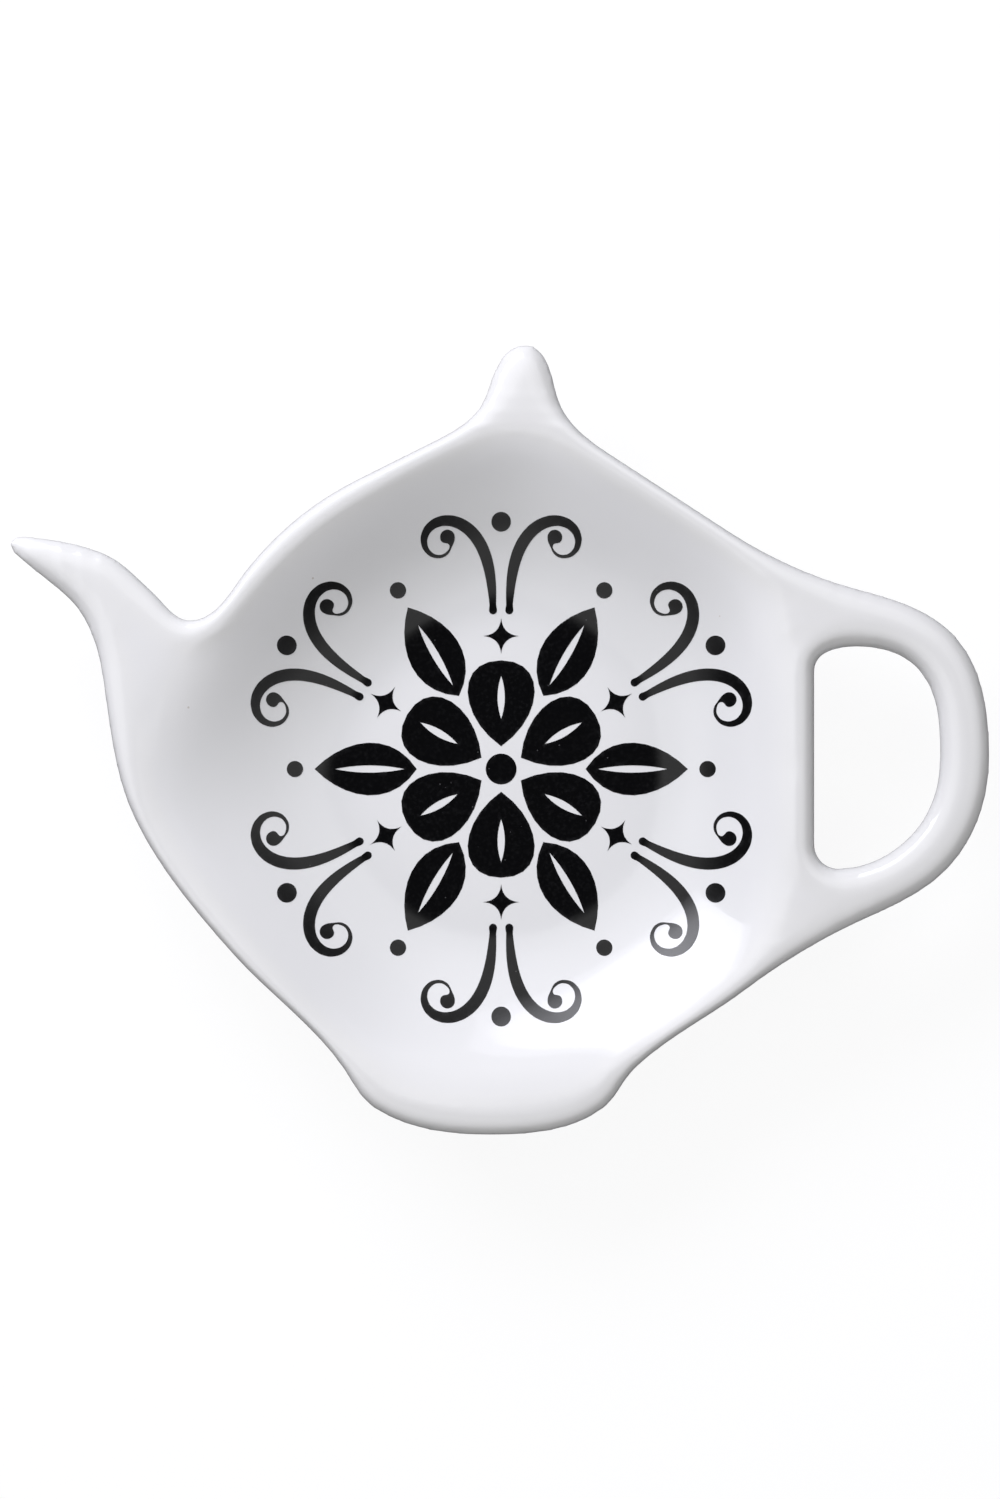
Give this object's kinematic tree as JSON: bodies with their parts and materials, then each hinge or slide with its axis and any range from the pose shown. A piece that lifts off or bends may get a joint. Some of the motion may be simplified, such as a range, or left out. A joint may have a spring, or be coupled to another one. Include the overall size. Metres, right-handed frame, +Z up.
{
  "type": "spoon rest",
  "caption": "Teapot-shaped glazed ceramic spoon rest: shallow dish with spout, knob, loop handle and foot in its rim, black rosette print in the well.",
  "frame": {"origin": "on the table, under the middle of the outline's bounding box", "axes": "+X from the spout towards the handle, +Y from the foot towards the lid knob, +Z up out of the well"},
  "size_m": [0.12, 0.0968, 0.0134],
  "materials": {
    "white_glaze": "glossy clear glaze over a white body, dry foot ring",
    "black_ink": "glossy fired-on black ceramic ink"
  },
  "bodies": {
    "root": {"ceramic_dish": "white_glaze", "print_eye": "black_ink", "print_leaf_1": "black_ink", "print_leaf_2": "black_ink", "print_leaf_3": "black_ink", "print_leaf_4": "black_ink", "print_leaf_5": "black_ink", "print_leaf_6": "black_ink", "print_petal_1": "black_ink", "print_petal_2": "black_ink", "print_petal_3": "black_ink", "print_petal_4": "black_ink", "print_petal_5": "black_ink", "print_petal_6": "black_ink", "print_rim_dot_1": "black_ink", "print_rim_dot_2": "black_ink", "print_rim_dot_3": "black_ink", "print_rim_dot_4": "black_ink", "print_rim_dot_5": "black_ink", "print_rim_dot_6": "black_ink", "print_scroll_left_1": "black_ink", "print_scroll_left_2": "black_ink", "print_scroll_left_3": "black_ink", "print_scroll_left_4": "black_ink", "print_scroll_left_5": "black_ink", "print_scroll_left_6": "black_ink", "print_scroll_right_1": "black_ink", "print_scroll_right_2": "black_ink", "print_scroll_right_3": "black_ink", "print_scroll_right_4": "black_ink", "print_scroll_right_5": "black_ink", "print_scroll_right_6": "black_ink", "print_star_1": "black_ink", "print_star_2": "black_ink", "print_star_3": "black_ink", "print_star_4": "black_ink", "print_star_5": "black_ink", "print_star_6": "black_ink", "print_tip_dot_1": "black_ink", "print_tip_dot_2": "black_ink", "print_tip_dot_3": "black_ink", "print_tip_dot_4": "black_ink", "print_tip_dot_5": "black_ink", "print_tip_dot_6": "black_ink"}
  },
  "joints": []
}
